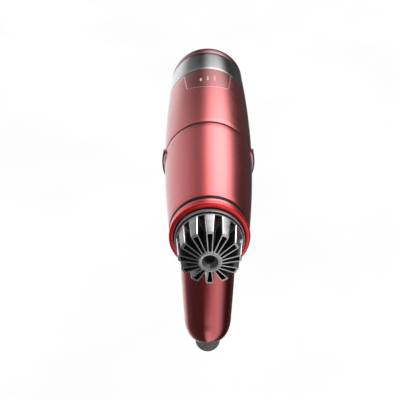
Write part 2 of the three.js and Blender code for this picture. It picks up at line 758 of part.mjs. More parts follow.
add("fan_shroud", fanShroud(), blackPlastic);
add("front_motor_damper", damper(SHROUD_FRONT_Y + 2), darkRubber);
add("rear_motor_damper", damper(SHROUD_FRONT_Y + 40), darkRubber);
add("motor_can", motorCan(), magnetSteel);
const endCap = ring(BEARING_SEAT_RADIUS, CAN_RADIUS - 1.3, CAN_BACK_Y - 3, CAN_BACK_Y - 0.5, SMALL);
add("motor_end_cap", endCap, magnetSteel);
add("stator_core", statorCore(), magnetSteel);
around(3, statorCoil()).forEach((coil, i) => add(`stator_coil_${i + 1}`, coil, copper));
add("front_bearing", bearing(CAN_FRONT_Y + 0.4), steel);
add("rear_bearing", bearing(CAN_BACK_Y - 3.6), steel);
add("motor_shaft", rod(SHAFT_RADIUS, CAN_FRONT_Y - 1, CAN_BACK_Y + 17.5), steel);
add("rotor_magnet", ring(BORE_RADIUS, 4.6, 128, 140, SMALL), magnetSteel);
add("impeller", impeller(), blackPlastic);

export default blower;
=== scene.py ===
"""The looks of a slim handheld blower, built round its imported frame.

Millimetres, which mesh_piece turns into the frame's metres, +Z up. The barrel lies along Y with its
outlet towards -Y, and the handle hangs below it.
Profiles are lists of (radius, place along the axis) or (radius, place, rounding radius).
"""

import json
from math import acos, atan2, ceil, cos, hypot, pi, radians, sin, sqrt, tan

import bmesh
import bpy
import numpy as np
from mathutils import Matrix, Vector


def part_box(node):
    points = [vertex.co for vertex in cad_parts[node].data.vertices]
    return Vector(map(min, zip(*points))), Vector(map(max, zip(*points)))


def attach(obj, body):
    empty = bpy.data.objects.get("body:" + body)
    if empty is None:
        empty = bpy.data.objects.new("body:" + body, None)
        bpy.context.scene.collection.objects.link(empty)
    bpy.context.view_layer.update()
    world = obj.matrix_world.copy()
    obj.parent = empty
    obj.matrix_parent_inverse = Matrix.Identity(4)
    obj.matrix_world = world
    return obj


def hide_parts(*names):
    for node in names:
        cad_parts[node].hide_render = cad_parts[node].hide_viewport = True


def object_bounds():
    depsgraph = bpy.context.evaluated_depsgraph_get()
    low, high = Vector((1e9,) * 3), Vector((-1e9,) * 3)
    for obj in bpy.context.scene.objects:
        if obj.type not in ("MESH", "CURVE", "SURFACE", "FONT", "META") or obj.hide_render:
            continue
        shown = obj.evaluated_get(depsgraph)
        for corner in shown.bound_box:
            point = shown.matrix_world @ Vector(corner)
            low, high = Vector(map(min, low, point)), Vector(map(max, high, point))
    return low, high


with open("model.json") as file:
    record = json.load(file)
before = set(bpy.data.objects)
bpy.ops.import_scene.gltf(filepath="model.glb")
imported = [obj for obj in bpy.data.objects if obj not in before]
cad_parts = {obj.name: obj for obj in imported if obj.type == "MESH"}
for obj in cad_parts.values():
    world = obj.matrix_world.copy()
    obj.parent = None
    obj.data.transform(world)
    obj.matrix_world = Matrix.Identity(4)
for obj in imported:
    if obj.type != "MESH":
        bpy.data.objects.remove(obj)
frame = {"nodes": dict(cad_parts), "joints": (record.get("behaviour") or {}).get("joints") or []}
cad_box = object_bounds()
MM = 0.001


# ---- Places taken from the frame ----


def low(node):
    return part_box(node)[0] / MM


def high(node):
    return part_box(node)[1] / MM


def joint(name):
    return next(j for j in frame["joints"] if j["name"] == name)


def joint_axis(name):
    return Vector(joint(name)["axis"]).normalized()


def radius_at(node, y):
    """The widest radius about the barrel axis among the node's points at that y."""
    points = np.array([v.co / MM for v in frame["nodes"][node].data.vertices])
    near = points[np.abs(points[:, 1] - y) < 0.6]
    return float(np.hypot(near[:, 0], near[:, 2]).max())


SEGMENTS = 160
SMALL_SEGMENTS = 64
BARREL = Matrix.Identity(4)
FROM_ABOVE = Matrix(((1, 0, 0, 0), (0, 0, 1, 0), (0, 1, 0, 0), (0, 0, 0, 1)))

BARREL_FRONT = low("front_barrel_shell").y
SEAM = high("front_barrel_shell").y
BAND_FRONT = low("chrome_intake_band").y
BAND_BACK = high("chrome_intake_band").y
BARREL_BACK = high("filter_cover").y
BELLY = 140
BELLY_RADIUS = high("rear_barrel_shell").x
FRONT_RADIUS = radius_at("front_barrel_shell", BARREL_FRONT)
BACK_RADIUS = radius_at("filter_cover", BAND_BACK + 0.3)


def outline(y):
    """The barrel's radius: two half parabolas that meet at the belly."""
    end, end_radius = (BARREL_FRONT, FRONT_RADIUS) if y < BELLY else (BAND_BACK, BACK_RADIUS)
    return BELLY_RADIUS - (BELLY_RADIUS - end_radius) * ((y - BELLY) / (end - BELLY)) ** 2


# The handle's own frame: x to the right, y towards its back, z up its axis, from the barrel axis.
HANDLE_UP = joint_axis("gland_swivel")
HANDLE_BACK = -joint_axis("speed_press")
pivot = Vector(joint("gland_swivel")["pos_m"]) / MM
handle_top = pivot - HANDLE_UP * (pivot.z / HANDLE_UP.z)
HANDLE = Matrix((
    (1, HANDLE_BACK.x, HANDLE_UP.x, handle_top.x),
    (0, HANDLE_BACK.y, HANDLE_UP.y, handle_top.y),
    (0, HANDLE_BACK.z, HANDLE_UP.z, handle_top.z),
    (0, 0, 0, 1),
))
HANDLE_INVERSE = HANDLE.inverted()
NECK = 30
COLLAR_END = 42
GRIP_END = 139.8
HANDLE_END = 157.8
END_RADIUS = 9.6
HANDLE_SPREAD = 21.1
HANDLE_CURVE = 1700


def handle_radius(down):
    return HANDLE_SPREAD - (down - NECK) ** 2 / (2 * HANDLE_CURVE)


def handle_place(node):
    """The middle of a node in the handle's own frame."""
    points = [HANDLE_INVERSE @ (v.co / MM) for v in frame["nodes"][node].data.vertices]
    lowest = Vector(min(p[i] for p in points) for i in range(3))
    highest = Vector(max(p[i] for p in points) for i in range(3))
    return (lowest + highest) / 2


# ---- Mesh helpers ----


def spread(start, end, count):
    return [start + (end - start) * i / count for i in range(count + 1)]


def rounded(points, steps=4):
    """A profile whose corners with a third number are rounded to that radius."""
    made = []
    for i, point in enumerate(points):
        radius = point[2] if len(point) > 2 else 0
        here = Vector(point[:2])
        if not radius:
            made.append(tuple(here))
            continue
        before = (Vector(points[i - 1][:2]) - here).normalized()
        after = (Vector(points[(i + 1) % len(points)][:2]) - here).normalized()
        half = before.angle(after) / 2
        middle = here + (before + after).normalized() * (radius / sin(half))
        start = here + before * (radius / tan(half)) - middle
        sweep = start.angle_signed(here + after * (radius / tan(half)) - middle)
        for angle in spread(0, sweep, steps):
            c, s = cos(angle), sin(angle)
            made.append((middle.x + start.x * c + start.y * s, middle.y - start.x * s + start.y * c))
    return made


def mesh_piece(name, points, faces, matrix=BARREL, sharp=35, kinds=None):
    """A smooth-shaded object whose faces point out and whose edges over that angle are sharp.
    kinds gives each face's place in the piece's list of materials."""
    mesh = bpy.data.meshes.new(name)
    mesh.from_pydata([matrix @ Vector(p) * MM for p in points], [], faces)
    work = bmesh.new()
    work.from_mesh(mesh)
    for face, kind in zip(work.faces, kinds or []):
        face.material_index = kind
    bmesh.ops.remove_doubles(work, verts=work.verts, dist=1e-6)
    bmesh.ops.dissolve_degenerate(work, edges=work.edges, dist=1e-7)
    bmesh.ops.recalc_face_normals(work, faces=work.faces)
    work.to_mesh(mesh)
    work.free()
    mesh.shade_smooth()
    mesh.set_sharp_from_angle(angle=radians(sharp))
    piece = bpy.data.objects.new(name, mesh)
    bpy.context.scene.collection.objects.link(piece)
    return piece


def quads(rows, round_rows=True, round_columns=False, start=0):
    """The faces between rows of points. A row, a column or both may close on themselves."""
    count, width = len(rows), len(rows[0])
    return [
        (start + i * width + j, start + i * width + (j + 1) % width,
         start + (i + 1) % count * width + (j + 1) % width, start + (i + 1) % count * width + j)
        for i in range(count if round_columns else count - 1)
        for j in range(width if round_rows else width - 1)
    ]


def lattice(name, rows, matrix=BARREL, round_rows=True, round_columns=False, sharp=35):
    faces = quads(rows, round_rows, round_columns)
    return mesh_piece(name, [p for row in rows for p in row], faces, matrix, sharp)


def turned(name, profile, matrix=BARREL, segments=SEGMENTS, axis="Y"):
    """A body turned about the barrel's axis (Y) or the handle's (Z) from a profile with roundings.
    A profile that leaves the axis closes on itself."""
    line = rounded(profile)
    closed = not (abs(line[0][0]) < 1e-9 and abs(line[-1][0]) < 1e-9)
    angles = spread(0, 2 * pi, segments)[:-1]

    def place(radius, along, angle):
        across, up = radius * sin(angle), radius * cos(angle)
        return (across, along, up) if axis == "Y" else (across, up, along)

    rows = [[place(radius, along, a) for a in angles] for radius, along in line]
    return lattice(name, rows, matrix, round_columns=closed)


def block(name, size, place, bevel=0.0):
    """A box with rounded edges, in the handle's frame."""
    half = Vector(size) / 2
    corners = [Vector((x, y, z)) for x in (-1, 1) for y in (-1, 1) for z in (-1, 1)]
    points = [Vector(place) + Vector(c * h for c, h in zip(corner, half)) for corner in corners]
    faces = [(0, 1, 3, 2), (4, 6, 7, 5), (0, 4, 5, 1), (2, 3, 7, 6), (0, 2, 6, 4), (1, 5, 7, 3)]
    piece = mesh_piece(name, points, faces, HANDLE)
    if bevel:
        round_edges(piece, bevel, 3)
    return piece


def prism(name, shape, start, end, matrix):
    """A flat shape in the matrix's x and z, pushed along its y."""
    count = len(shape)
    points = [(x, y, z) for y in (start, end) for x, z in shape]
    sides = [(i, (i + 1) % count, count + (i + 1) % count, count + i) for i in range(count)]
    ends = [tuple(range(count)), tuple(range(count, 2 * count))]
    return mesh_piece(name, points, sides + ends, matrix)


def obround(width, length, steps):
    """A flat shape with round ends, long in its second coordinate."""
    half, run = width / 2, length / 2 - width / 2
    top = [(half * cos(a), run + half * sin(a)) for a in spread(0, pi, steps)]
    return top + [(-x, -z) for x, z in top]


def modifier(piece, kind, **settings):
    made = piece.modifiers.new(kind.lower(), kind)
    for key, value in settings.items():
        setattr(made, key, value)


def carve(piece, *solids, operation="DIFFERENCE"):
    """Takes the solids out of a piece, or keeps what it shares with them."""
    for solid in solids:
        modifier(piece, "BOOLEAN", object=solid, operation=operation, solver="EXACT")
    graph = bpy.context.evaluated_depsgraph_get()
    graph.update()
    mesh = bpy.data.meshes.new_from_object(piece.evaluated_get(graph))
    piece.modifiers.clear()
    piece.data = mesh
    for solid in solids:
        bpy.data.objects.remove(solid)


def keep_inside(piece, solid):
    carve(piece, solid, operation="INTERSECT")


def round_edges(piece, width, segments=2, angle=40):
    modifier(
        piece, "BEVEL", width=width * MM, segments=segments, limit_method="ANGLE",
        angle_limit=radians(angle), harden_normals=True,
    )


def finished(piece, body, material, *nodes, slot=None):
    """Gives a piece its materials and its body, and hides the CAD nodes it stands for."""
    kinds = [face.material_index for face in piece.data.polygons]
    piece.data.materials.clear()
    for each in material if isinstance(material, list) else [material]:
        piece.data.materials.append(each)
    piece.data.polygons.foreach_set("material_index", kinds)
    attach(piece, body)
    if nodes:
        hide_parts(*nodes)


# ---- Materials ----


def map_range(tree, value, numbers, curve="LINEAR"):
    """Maps a value between two bounds to one between two others, clamped at both ends."""
    node = tree.nodes.new("ShaderNodeMapRange")
    node.interpolation_type = curve
    for key, number in zip(("From Min", "From Max", "To Min", "To Max"), numbers):
        node.inputs[key].default_value = number
    tree.links.new(value, node.inputs["Value"])
    return node.outputs["Result"]


class Surface:
    """A material with one Principled shader and short ways to add textures to it."""

    def __init__(self, name, colour, roughness, metallic=0.0, **settings):
        self.material = bpy.data.materials.new(name)
        self.material.use_nodes = True
        self.tree = self.material.node_tree
        self.nodes, self.links = self.tree.nodes, self.tree.links
        self.shader = self.nodes["Principled BSDF"]
        self.colour = colour
        self.roughness = roughness
        self.set("Base Color", (*colour, 1))
        self.set("Roughness", roughness)
        self.set("Metallic", metallic)
        for key, value in settings.items():
            self.set(key.replace("_", " ").title().replace("Ior", "IOR"), value)
        self.place = self.nodes.new("ShaderNodeTexCoord").outputs["Object"]
        self.height = None

    def set(self, socket, value):
        self.shader.inputs[socket].default_value = value

    def stretched(self, scale):
        node = self.nodes.new("ShaderNodeMapping")
        node.inputs["Scale"].default_value = scale
        self.links.new(self.place, node.inputs["Vector"])
        return node.outputs["Vector"]

    def texture(self, kind, scale, place=None):
        node = self.nodes.new(f"ShaderNodeTex{kind}")
        node.inputs["Scale"].default_value = scale
        self.links.new(place or self.place, node.inputs["Vector"])
        return node

    def noise(self, scale, detail, stretch=None):
        node = self.texture("Noise", scale, self.stretched(stretch) if stretch else None)
        node.inputs["Detail"].default_value = detail
        return node.outputs["Fac"]

    def vary_colour(self, value, other, low_in=0.35, high_in=0.65):
        """Mixes the base colour towards another as the value rises."""
        node = self.nodes.new("ShaderNodeMix")
        node.data_type = "RGBA"
        source = self.shader.inputs["Base Color"]
        if source.is_linked:
            self.links.new(source.links[0].from_socket, node.inputs["A"])
        else:
            node.inputs["A"].default_value = (*self.colour, 1)
        node.inputs["B"].default_value = (*other, 1)
        self.links.new(map_range(self.tree, value, (low_in, high_in, 0, 1)), node.inputs["Factor"])
        self.links.new(node.outputs["Result"], source)

    def vary_roughness(self, value, amount):
        bounds = (0.3, 0.7, self.roughness - amount, self.roughness + amount)
        self.links.new(map_range(self.tree, value, bounds), self.shader.inputs["Roughness"])

    def bump(self, value, depth):
        """Adds surface relief of that depth."""
        node = self.nodes.new("ShaderNodeBump")
        node.inputs["Distance"].default_value = depth * MM
        self.links.new(value, node.inputs["Height"])
        if self.height is not None:
            self.links.new(self.height, node.inputs["Normal"])
        self.height = node.outputs["Normal"]
        self.links.new(self.height, self.shader.inputs["Normal"])


def metallic_red(name, colour, flake, roughness, coat_ior=1.65):
    """Satin metallic paint: fine flakes under a thin clear coat, with a faint orange peel."""
    s = Surface(
        name, colour, roughness, metallic=0.97, coat_weight=0.7, coat_roughness=0.14, coat_ior=coat_ior,
    )
    s.vary_colour(s.noise(5200, 1), flake, 0.5, 0.8)
    s.vary_roughness(s.noise(60, 3), 0.025)
    s.bump(s.noise(900, 2), 0.0012)
    s.bump(s.noise(5200, 1), 0.0006)
    return s.material


def polished(name, colour, roughness, brush=0.0):
    s = Surface(name, colour, roughness, metallic=1.0)
    s.vary_roughness(s.noise(90, 3), roughness * 0.25)
    s.vary_colour(s.noise(40, 2), tuple(c * 0.93 for c in colour))
    if brush:
        s.bump(s.noise(700, 2, (1, 14, 1)), brush)
    return s.material


def moulded(name, colour, roughness, grain=0.012, metallic=0.0, **settings):
    """Moulded plastic or rubber: a fine spark-eroded grain and slight shade changes."""
    s = Surface(name, colour, roughness, metallic, **settings)
    s.vary_colour(s.noise(150, 3), tuple(c * 1.25 + 0.002 for c in colour))
    s.vary_roughness(s.noise(220, 3), 0.05)
    if grain:
        s.bump(s.noise(3200, 3), grain)
    return s.material


RED = metallic_red("red_metallic_paint", (0.52, 0.05, 0.056), (0.6, 0.085, 0.09), 0.27)
HANDLE_RED = metallic_red("handle_red_paint", (0.52, 0.05, 0.056), (0.6, 0.085, 0.09), 0.27, 2.0)
RIM_RED = metallic_red("dark_red_rim", (0.2, 0.03, 0.036), (0.26, 0.05, 0.055), 0.3)
BEZEL_RED = moulded("red_gloss_plastic", (0.72, 0.022, 0.024), 0.3, 0.002, metallic=0.82,
                    coat_weight=0.6, coat_roughness=0.12)
# Pale pink: a painted highlight on the saddle's front bevel.
LIP_HIGHLIGHT = moulded("painted_highlight_bevel", (0.62, 0.4, 0.4), 0.3, 0.002)
SEAM_RED = moulded("dark_red_seam", (0.014, 0.002, 0.003), 0.6, specular_ior_level=0.1)
CHROME = polished("polished_chrome", (0.62, 0.63, 0.64), 0.11)
GUNMETAL = moulded("gunmetal", (0.13, 0.135, 0.14), 0.28, 0.003, metallic=0.85)
COLLAR_METAL = moulded("collar_metal", (0.31, 0.34, 0.345), 0.3, 0.003, metallic=0.7)
FIN = moulded("fin_metal", (0.38, 0.38, 0.385), 0.26, 0.003, metallic=0.9)
# The petals' faces, sides and bevels are lighter and darker copies of the fin metal: the near-black sides
# are painted shade and the pale bevels a painted highlight.
PETAL_WALL = moulded("petal_wall", (0.26, 0.26, 0.265), 0.24, 0.003, metallic=0.9)
PETAL_SIDE_SHADE = moulded("petal_side_painted_shade", (0.05, 0.05, 0.052), 0.3, 0.003, metallic=0.9)
PETAL_EDGE_HIGHLIGHT = moulded("petal_edge_painted_highlight", (0.75, 0.75, 0.76), 0.18, 0.003, metallic=1.0)
# A darker copy of the fin metal: painted shade in the nose's recess.
RECESS = moulded("recess_painted_shade", (0.17, 0.17, 0.175), 0.35, 0.003, metallic=0.9)
# Near-black metal: painted shade in the valleys between the petals and on the cone behind them.
VALLEY_SHADE = moulded("valley_painted_shade", (0.022, 0.022, 0.023), 0.5, 0.003, metallic=0.4)
BLACK = moulded("black_plastic", (0.012, 0.012, 0.013), 0.42)
GLOSS_BLACK = moulded("gloss_black_ring", (0.006, 0.006, 0.007), 0.38, 0.002,
                      specular_ior_level=0.12)
# Near black: painted shade in the nose's bore, the collar's grooves and under the control panel.
SHADE_BLACK = moulded("painted_shade_black", (0.004, 0.004, 0.0045), 0.6, specular_ior_level=0.2)
BLUE = moulded("blue_plastic", (0.03, 0.14, 0.38), 0.3, 0.004)
BOARD = moulded("solder_mask", (0.02, 0.14, 0.06), 0.35)
MICA = moulded("mica", (0.56, 0.48, 0.32), 0.7)
STEEL = polished("brushed_steel", (0.5, 0.5, 0.52), 0.3, 0.01)
DARK_STEEL = polished("rolled_steel", (0.2, 0.2, 0.21), 0.38, 0.01)
COPPER = polished("copper_wire", (0.72, 0.3, 0.14), 0.28, 0.03)
BAR_INK = moulded("bar_ink", (0.66, 0.33, 0.34), 0.4, 0.002)
WINDOW_LINE = moulded("window_line", (0.68, 0.33, 0.34), 0.3, 0.002, metallic=0.7)
WINDOW = metallic_red("window_panel", (0.34, 0.045, 0.052), (0.42, 0.08, 0.085), 0.26)


def speckled_rubber():
    """Dark grey rubber with pale specks and a fine grain."""
    s = Surface("dark_rubber", (0.075, 0.077, 0.075), 0.62)
    s.vary_colour(s.noise(1300, 3), (0.19, 0.195, 0.19), 0.5, 0.75)
    s.vary_colour(s.noise(120, 2), (0.05, 0.052, 0.05))
    s.vary_roughness(s.noise(220, 3), 0.06)
    s.bump(s.noise(1800, 3), 0.03)
    return s.material


def foam():
    s = Surface("open_foam", (0.03, 0.03, 0.035), 0.95)
    s.bump(s.texture("Voronoi", 900).outputs["Distance"], 0.5)
    return s.material


def wire_mesh():
    """Woven wire: two crossed sets of fine waves."""
    s = Surface("wire_mesh", (0.35, 0.35, 0.36), 0.35, metallic=1.0)
    for direction in ("X", "Z"):
        wave = s.texture("Wave", 330)
        wave.bands_direction = direction
        s.vary_colour(wave.outputs["Fac"], (0.006, 0.006, 0.006), 0.35, 0.75)
        s.bump(wave.outputs["Fac"], 0.15)
    return s.material


RUBBER = speckled_rubber()
FOAM = foam()
WIRE_MESH = wire_mesh()


# ---- The camera, the floor and the light ----

CAMERA_FROM_NOSE = Vector((-5.1, -426.4, 307.6))
CAMERA_AIM_FROM_NOSE = Vector((-5.5, 65.0, 0))
CAMERA_ROLL = radians(0.12)
NOSE = Vector((0, low("outlet_mixer").y, 0))


def add_camera():
    data = bpy.data.cameras.new("camera")
    data.lens = 85
    data.sensor_width = 36
    camera = bpy.data.objects.new("camera", data)
    camera.location = (NOSE + CAMERA_FROM_NOSE) * MM
    ahead = CAMERA_AIM_FROM_NOSE - CAMERA_FROM_NOSE
    turn = ahead.to_track_quat("-Z", "Y") @ Matrix.Rotation(-CAMERA_ROLL, 3, "Z").to_quaternion()
    camera.rotation_mode = "QUATERNION"
    camera.rotation_quaternion = turn
    bpy.context.scene.collection.objects.link(camera)
    bpy.context.scene.camera = camera


def add_floor():
    """A plain pale floor well below the blower, which is held up by its handle."""
    half, height = 4000, cad_box[0].z / MM - 600
    corners = [(-half, -half, height), (half, -half, height), (half, half, height), (-half, half, height)]
    floor = mesh_piece("floor", corners, [(0, 1, 2, 3)])
    s = Surface("pale_floor", (0.93, 0.93, 0.93), 0.9)
    s.vary_colour(s.noise(3, 2), (0.96, 0.96, 0.96))
    floor.data.materials.append(s.material)
    floor.visible_glossy = False


def add_studio():
    """Even white light, with a soft box behind and above that the polished surfaces mirror."""
    world = bpy.data.worlds.new("studio")
    bpy.context.scene.world = world
    world.use_nodes = True
    tree = world.node_tree
    nodes, links = tree.nodes, tree.links
    shader = nodes["Background"]

    def math_node(operation, *values):
        node = nodes.new("ShaderNodeMath")
        node.operation = operation
        for socket, value in zip(node.inputs, values):
            if isinstance(value, (int, float)):
                socket.default_value = value
            else:
                links.new(value, socket)
        return node.outputs[0]

    direction = nodes.new("ShaderNodeSeparateXYZ")
    links.new(nodes.new("ShaderNodeTexCoord").outputs["Generated"], direction.inputs[0])
    x, y, z = direction.outputs

    def degrees(across, along):
        return math_node("MULTIPLY", math_node("ARCTAN2", across, along), 180 / pi)

    # Turn about the barrel's axis, from straight up, positive to the right.
    turn = degrees(x, z)

    def ramp(value, stops):
        """A curve through (value, brightness) stops, as a chain of smooth steps."""
        total = stops[0][1]
        for (start, low_level), (end, high_level) in zip(stops, stops[1:]):
            step = (start, end, 0, high_level - low_level)
            total = math_node("ADD", total, map_range(tree, value, step, "SMOOTHSTEP"))
        return total

    # The soft box stops short of the horizon behind, so what tips back there mirrors less of it.
    horizon = ramp(y, HORIZON_FADE)
    above = ramp(turn, ABOVE_FADE)
    shade = math_node("SUBTRACT", 1, math_node("MULTIPLY", horizon, above))
    behind = math_node("MULTIPLY", ramp(turn, BEHIND_LIGHT), shade)
    # Turn about the upright, from the front, positive to the right, for what faces the floor ahead.
    sweep = degrees(x, math_node("MULTIPLY", y, -1))
    ahead = ramp(sweep, AHEAD_LIGHT)
    frontness = ramp(y, AHEAD_FADE)
    mirrored = math_node(
        "ADD",
        math_node("MULTIPLY", behind, ramp(y, BEHIND_FADE)),
        math_node("MULTIPLY", ahead, frontness),
    )
    # Patches straight ahead, low and level, which the mixer's front faces mirror.
    patch = math_node("MULTIPLY", ramp(z, PATCH_LEVELS), ramp(sweep, PATCH_SWEEP))
    mirrored = math_node("ADD", mirrored, math_node("MULTIPLY", patch, frontness))
    glossy = nodes.new("ShaderNodeLightPath").outputs["Is Glossy Ray"]
    level = math_node(
        "ADD",
        math_node("MULTIPLY", mirrored, glossy),
        math_node("MULTIPLY", ROOM_LIGHT, math_node("SUBTRACT", 1, glossy)),
    )
    links.new(level, shader.inputs["Strength"])
    shader.inputs["Color"].default_value = (1, 1, 1, 1)


# Brightness, or a share of it, along a direction's y or z or along its turn in degrees.
ROOM_LIGHT = 1.06
HORIZON_FADE = [(0.8, 0), (1, 1)]
ABOVE_FADE = [(-115, 0), (-60, 1), (60, 1), (115, 0)]
AHEAD_FADE = [(-0.15, 1), (0.15, 0)]
BEHIND_FADE = [(-0.15, 0), (0.15, 0.1), (0.6, 1)]
PATCH_LEVELS = [(-0.6, 1), (-0.53, 0), (-0.25, 0), (-0.08, 0.9), (0.12, 0.9), (0.4, 0.4)]
PATCH_SWEEP = [(-20, 0), (-4, 0.9), (12, 0.9), (28, 0)]
BEHIND_LIGHT = [(-180, 1.2), (-140, 1.0), (-92, 1.0), (-60, 0.85), (-42, 0.62), (-28, 0.45), (-20, 0.5),
                (20, 4.1), (32, 4.3), (74, 0.15), (90, 0.06), (150, 0.06), (180, 1.0)]
AHEAD_LIGHT = [(-180, 1.3), (-150, 0.8), (-118, 0.25), (-70, 0.06), (-8, 0.04), (40, 1.0), (46, 1.0),
               (86, 0.04), (100, 0.05), (140, 0.3), (180, 1.0)]


# ---- The outlet nozzle ----

PETALS = 12
NOSE_RADIUS = 6.7
RECESS_RADIUS = 4.6
RECESS_FLOOR_RADIUS = 2.6
RECESS_CONE = 2.5
PETAL_TIP = Vector((17.8, -1.2))
PETAL_BASE_RADIUS = 19.1
PETAL_FLARE = 0.095
PETAL_WIDTH = 4.4
PETAL_ROOT_WIDTH = 2.8
PETAL_SKIN = 0.75
PETAL_TIP_SKIN = 1.3
PETAL_WIDENING = 0.8
PETAL_CORNER = 0.8
PETAL_LEVELS = (1, 0.7, 0.62, 0.54, 0.46, 0.3)
FLANK_LEVELS = 4
FLANK_SPREAD = 3.2
FLANK_REACH = 0.4
ROOT_DEPTH = 0.9
ROOT_CORNER = 0.4
RIM_EDGE = 0.14
MIXER_BACK = high("outlet_mixer").y
PETAL_BACK = MIXER_BACK - 2
RIM, FACE, INSIDE, SIDE, BEVEL = range(5)


def petal_points():
    """One hollow petal at the top of the nose, as rows of points that go over its flat rim."""
    quarter = spread(0, pi / 2, 3)
    over_rim = [(RIM_EDGE * (1 - cos(a)), RIM_EDGE * (1 - sin(a))) for a in quarter]
    over_rim += [(PETAL_SKIN - inset, depth) for inset, depth in reversed(over_rim)]
    length = PETAL_BACK - PETAL_TIP.y
    levels = [(0, length * share) for share in PETAL_LEVELS] + over_rim + [(PETAL_SKIN, 0.95 * length)]
    rows = []
    for inset, depth in levels:
        share = depth / length
        tip = PETAL_TIP.x + PETAL_FLARE * depth - inset * PETAL_TIP_SKIN / PETAL_SKIN
        root = NOSE_RADIUS - ROOT_DEPTH + inset * 1.4
        widening = PETAL_WIDENING * min(1, 1.5 * share)
        tip_half = PETAL_WIDTH / 2 - inset + widening
        flank = 0 if inset else FLANK_SPREAD * min(1, max(0, share - PETAL_LEVELS[-1]) / FLANK_REACH)
        root_half = PETAL_ROOT_WIDTH / 2 - inset + widening + flank
        corner = PETAL_CORNER - inset * 0.6
        shape = rounded([
            (root_half, root, ROOT_CORNER), (tip_half, tip, corner),
            (-tip_half, tip, corner), (-root_half, root, ROOT_CORNER),
        ])
        rows.append([
            (x, nose_front(radius) + depth * (PETAL_BACK - nose_front(radius)) / length, radius)
            for x, radius in along_edges(shape)
        ])
    return rows


def nose_front(radius):
    """Where the petals' front edges lie at a radius: they slope back from the hub to the tips."""
    share = (radius - NOSE_RADIUS) / (PETAL_TIP.x - NOSE_RADIUS)
    return NOSE.y + (PETAL_TIP.y - NOSE.y) * share


def along_edges(shape):
    """The points of a shape with four rounded corners, with more along its two long sides."""
    side = len(shape) // 4
    made = []
    for i, point in enumerate(shape):
        made.append(point)
        if i in (side - 1, 3 * side - 1):
            far = Vector(shape[i + 1])
            made += [tuple(Vector(point).lerp(far, t)) for t in spread(0, 1, 5)[1:-1]]
    return made


def make_petals():
    """Twelve hollow petals in one mesh, whose rims, faces, insides, sides and bevels take lighter and
    darker copies of one metal with slightly different roughness: the near-black insides and sides are
    painted shade and the pale bevels a painted highlight.
    """
    one = petal_points()
    points, faces, kinds = [], [], []
    width = len(one[0])
    rim = len(one) - len(PETAL_LEVELS) - 2
    tip_face, tip_bevels = range(9, 18), (10, 11, 15, 16)
    fronts = [BEVEL if j in tip_bevels else FACE if j in tip_face else SIDE for j in range(width)]
    flanks = [BEVEL if j in tip_bevels else FACE for j in range(width)]
    for k in range(PETALS):
        turn = Matrix.Rotation(2 * pi * k / PETALS, 3, "Y")
        faces += quads(one, start=len(points))
        points += [turn @ Vector(p) for row in one for p in row]
        kinds += FLANK_LEVELS * flanks + (len(PETAL_LEVELS) - FLANK_LEVELS) * fronts
        kinds += [RIM] * (rim * width) + [INSIDE] * width
    petals = mesh_piece("mixer_petals", points, faces, sharp=50, kinds=kinds)
    finished(petals, "nozzle_head", [FIN, PETAL_WALL, VALLEY_SHADE, PETAL_SIDE_SHADE, PETAL_EDGE_HIGHLIGHT], slot="gunmetal")


def make_hub():
    """The nose's flat ring with its recess, painted a darker copy of the ring's metal as shade, which
    narrows into a bore lined with near-black painted shade.
    """
    lip = NOSE.y + 0.15
    dish = turned("mixer_dish", [
        (RECESS_FLOOR_RADIUS, 0), (RECESS_FLOOR_RADIUS, NOSE.y + RECESS_CONE, 2.6),
        (RECESS_RADIUS - 0.1, lip, 0.1), (RECESS_RADIUS + 0.5, lip), (RECESS_RADIUS + 0.5, 0),
    ])
    finished(dish, "nozzle_head", RECESS, slot="gunmetal")
    hub = turned("mixer_hub", [
        (0, 0.4), (RECESS_RADIUS, 0.4), (RECESS_RADIUS, NOSE.y, 0.12),
        (NOSE_RADIUS + 0.1, NOSE.y, 0.15), (NOSE_RADIUS + 0.1, NOSE.y + 1.2, 0.3),
        (NOSE_RADIUS - 1, NOSE.y + 4), (0, NOSE.y + 8),
    ])
    finished(hub, "nozzle_head", FIN, slot="gunmetal")
    inside, outside = RECESS_FLOOR_RADIUS - 0.15, RECESS_FLOOR_RADIUS + 0.1
    mouth, floor = NOSE.y + RECESS_CONE + 1.3, 0.3
    bore_shade = turned("mixer_bore_painted_shade", [
        (0, -floor), (inside, -floor), (inside, mouth), (outside, mouth), (outside, floor), (0, floor),
    ], segments=SMALL_SEGMENTS)
    finished(bore_shade, "nozzle_head", SHADE_BLACK, slot="gunmetal")


def make_mixer_cone():
    """The cone between the petals, and the foot that the collar holds, in near-black metal: painted shade
    for the valleys between the petals.
    """
    outside, inside = PETAL_BASE_RADIUS - 0.2, PETAL_BASE_RADIUS - 1.2
    foot, foot_front, cone_back = PETAL_BASE_RADIUS + 1.4, MIXER_BACK - 1.4, 20
    cone = turned("mixer_cone", [
        (NOSE_RADIUS - 1, NOSE.y + 1.5), (outside, cone_back), (outside, foot_front),
        (foot, foot_front), (foot, MIXER_BACK), (inside, MIXER_BACK), (inside, cone_back),
        (NOSE_RADIUS - 1.5, NOSE.y + 3),
    ])
    finished(cone, "nozzle_head", VALLEY_SHADE, "outlet_mixer", slot="gunmetal")


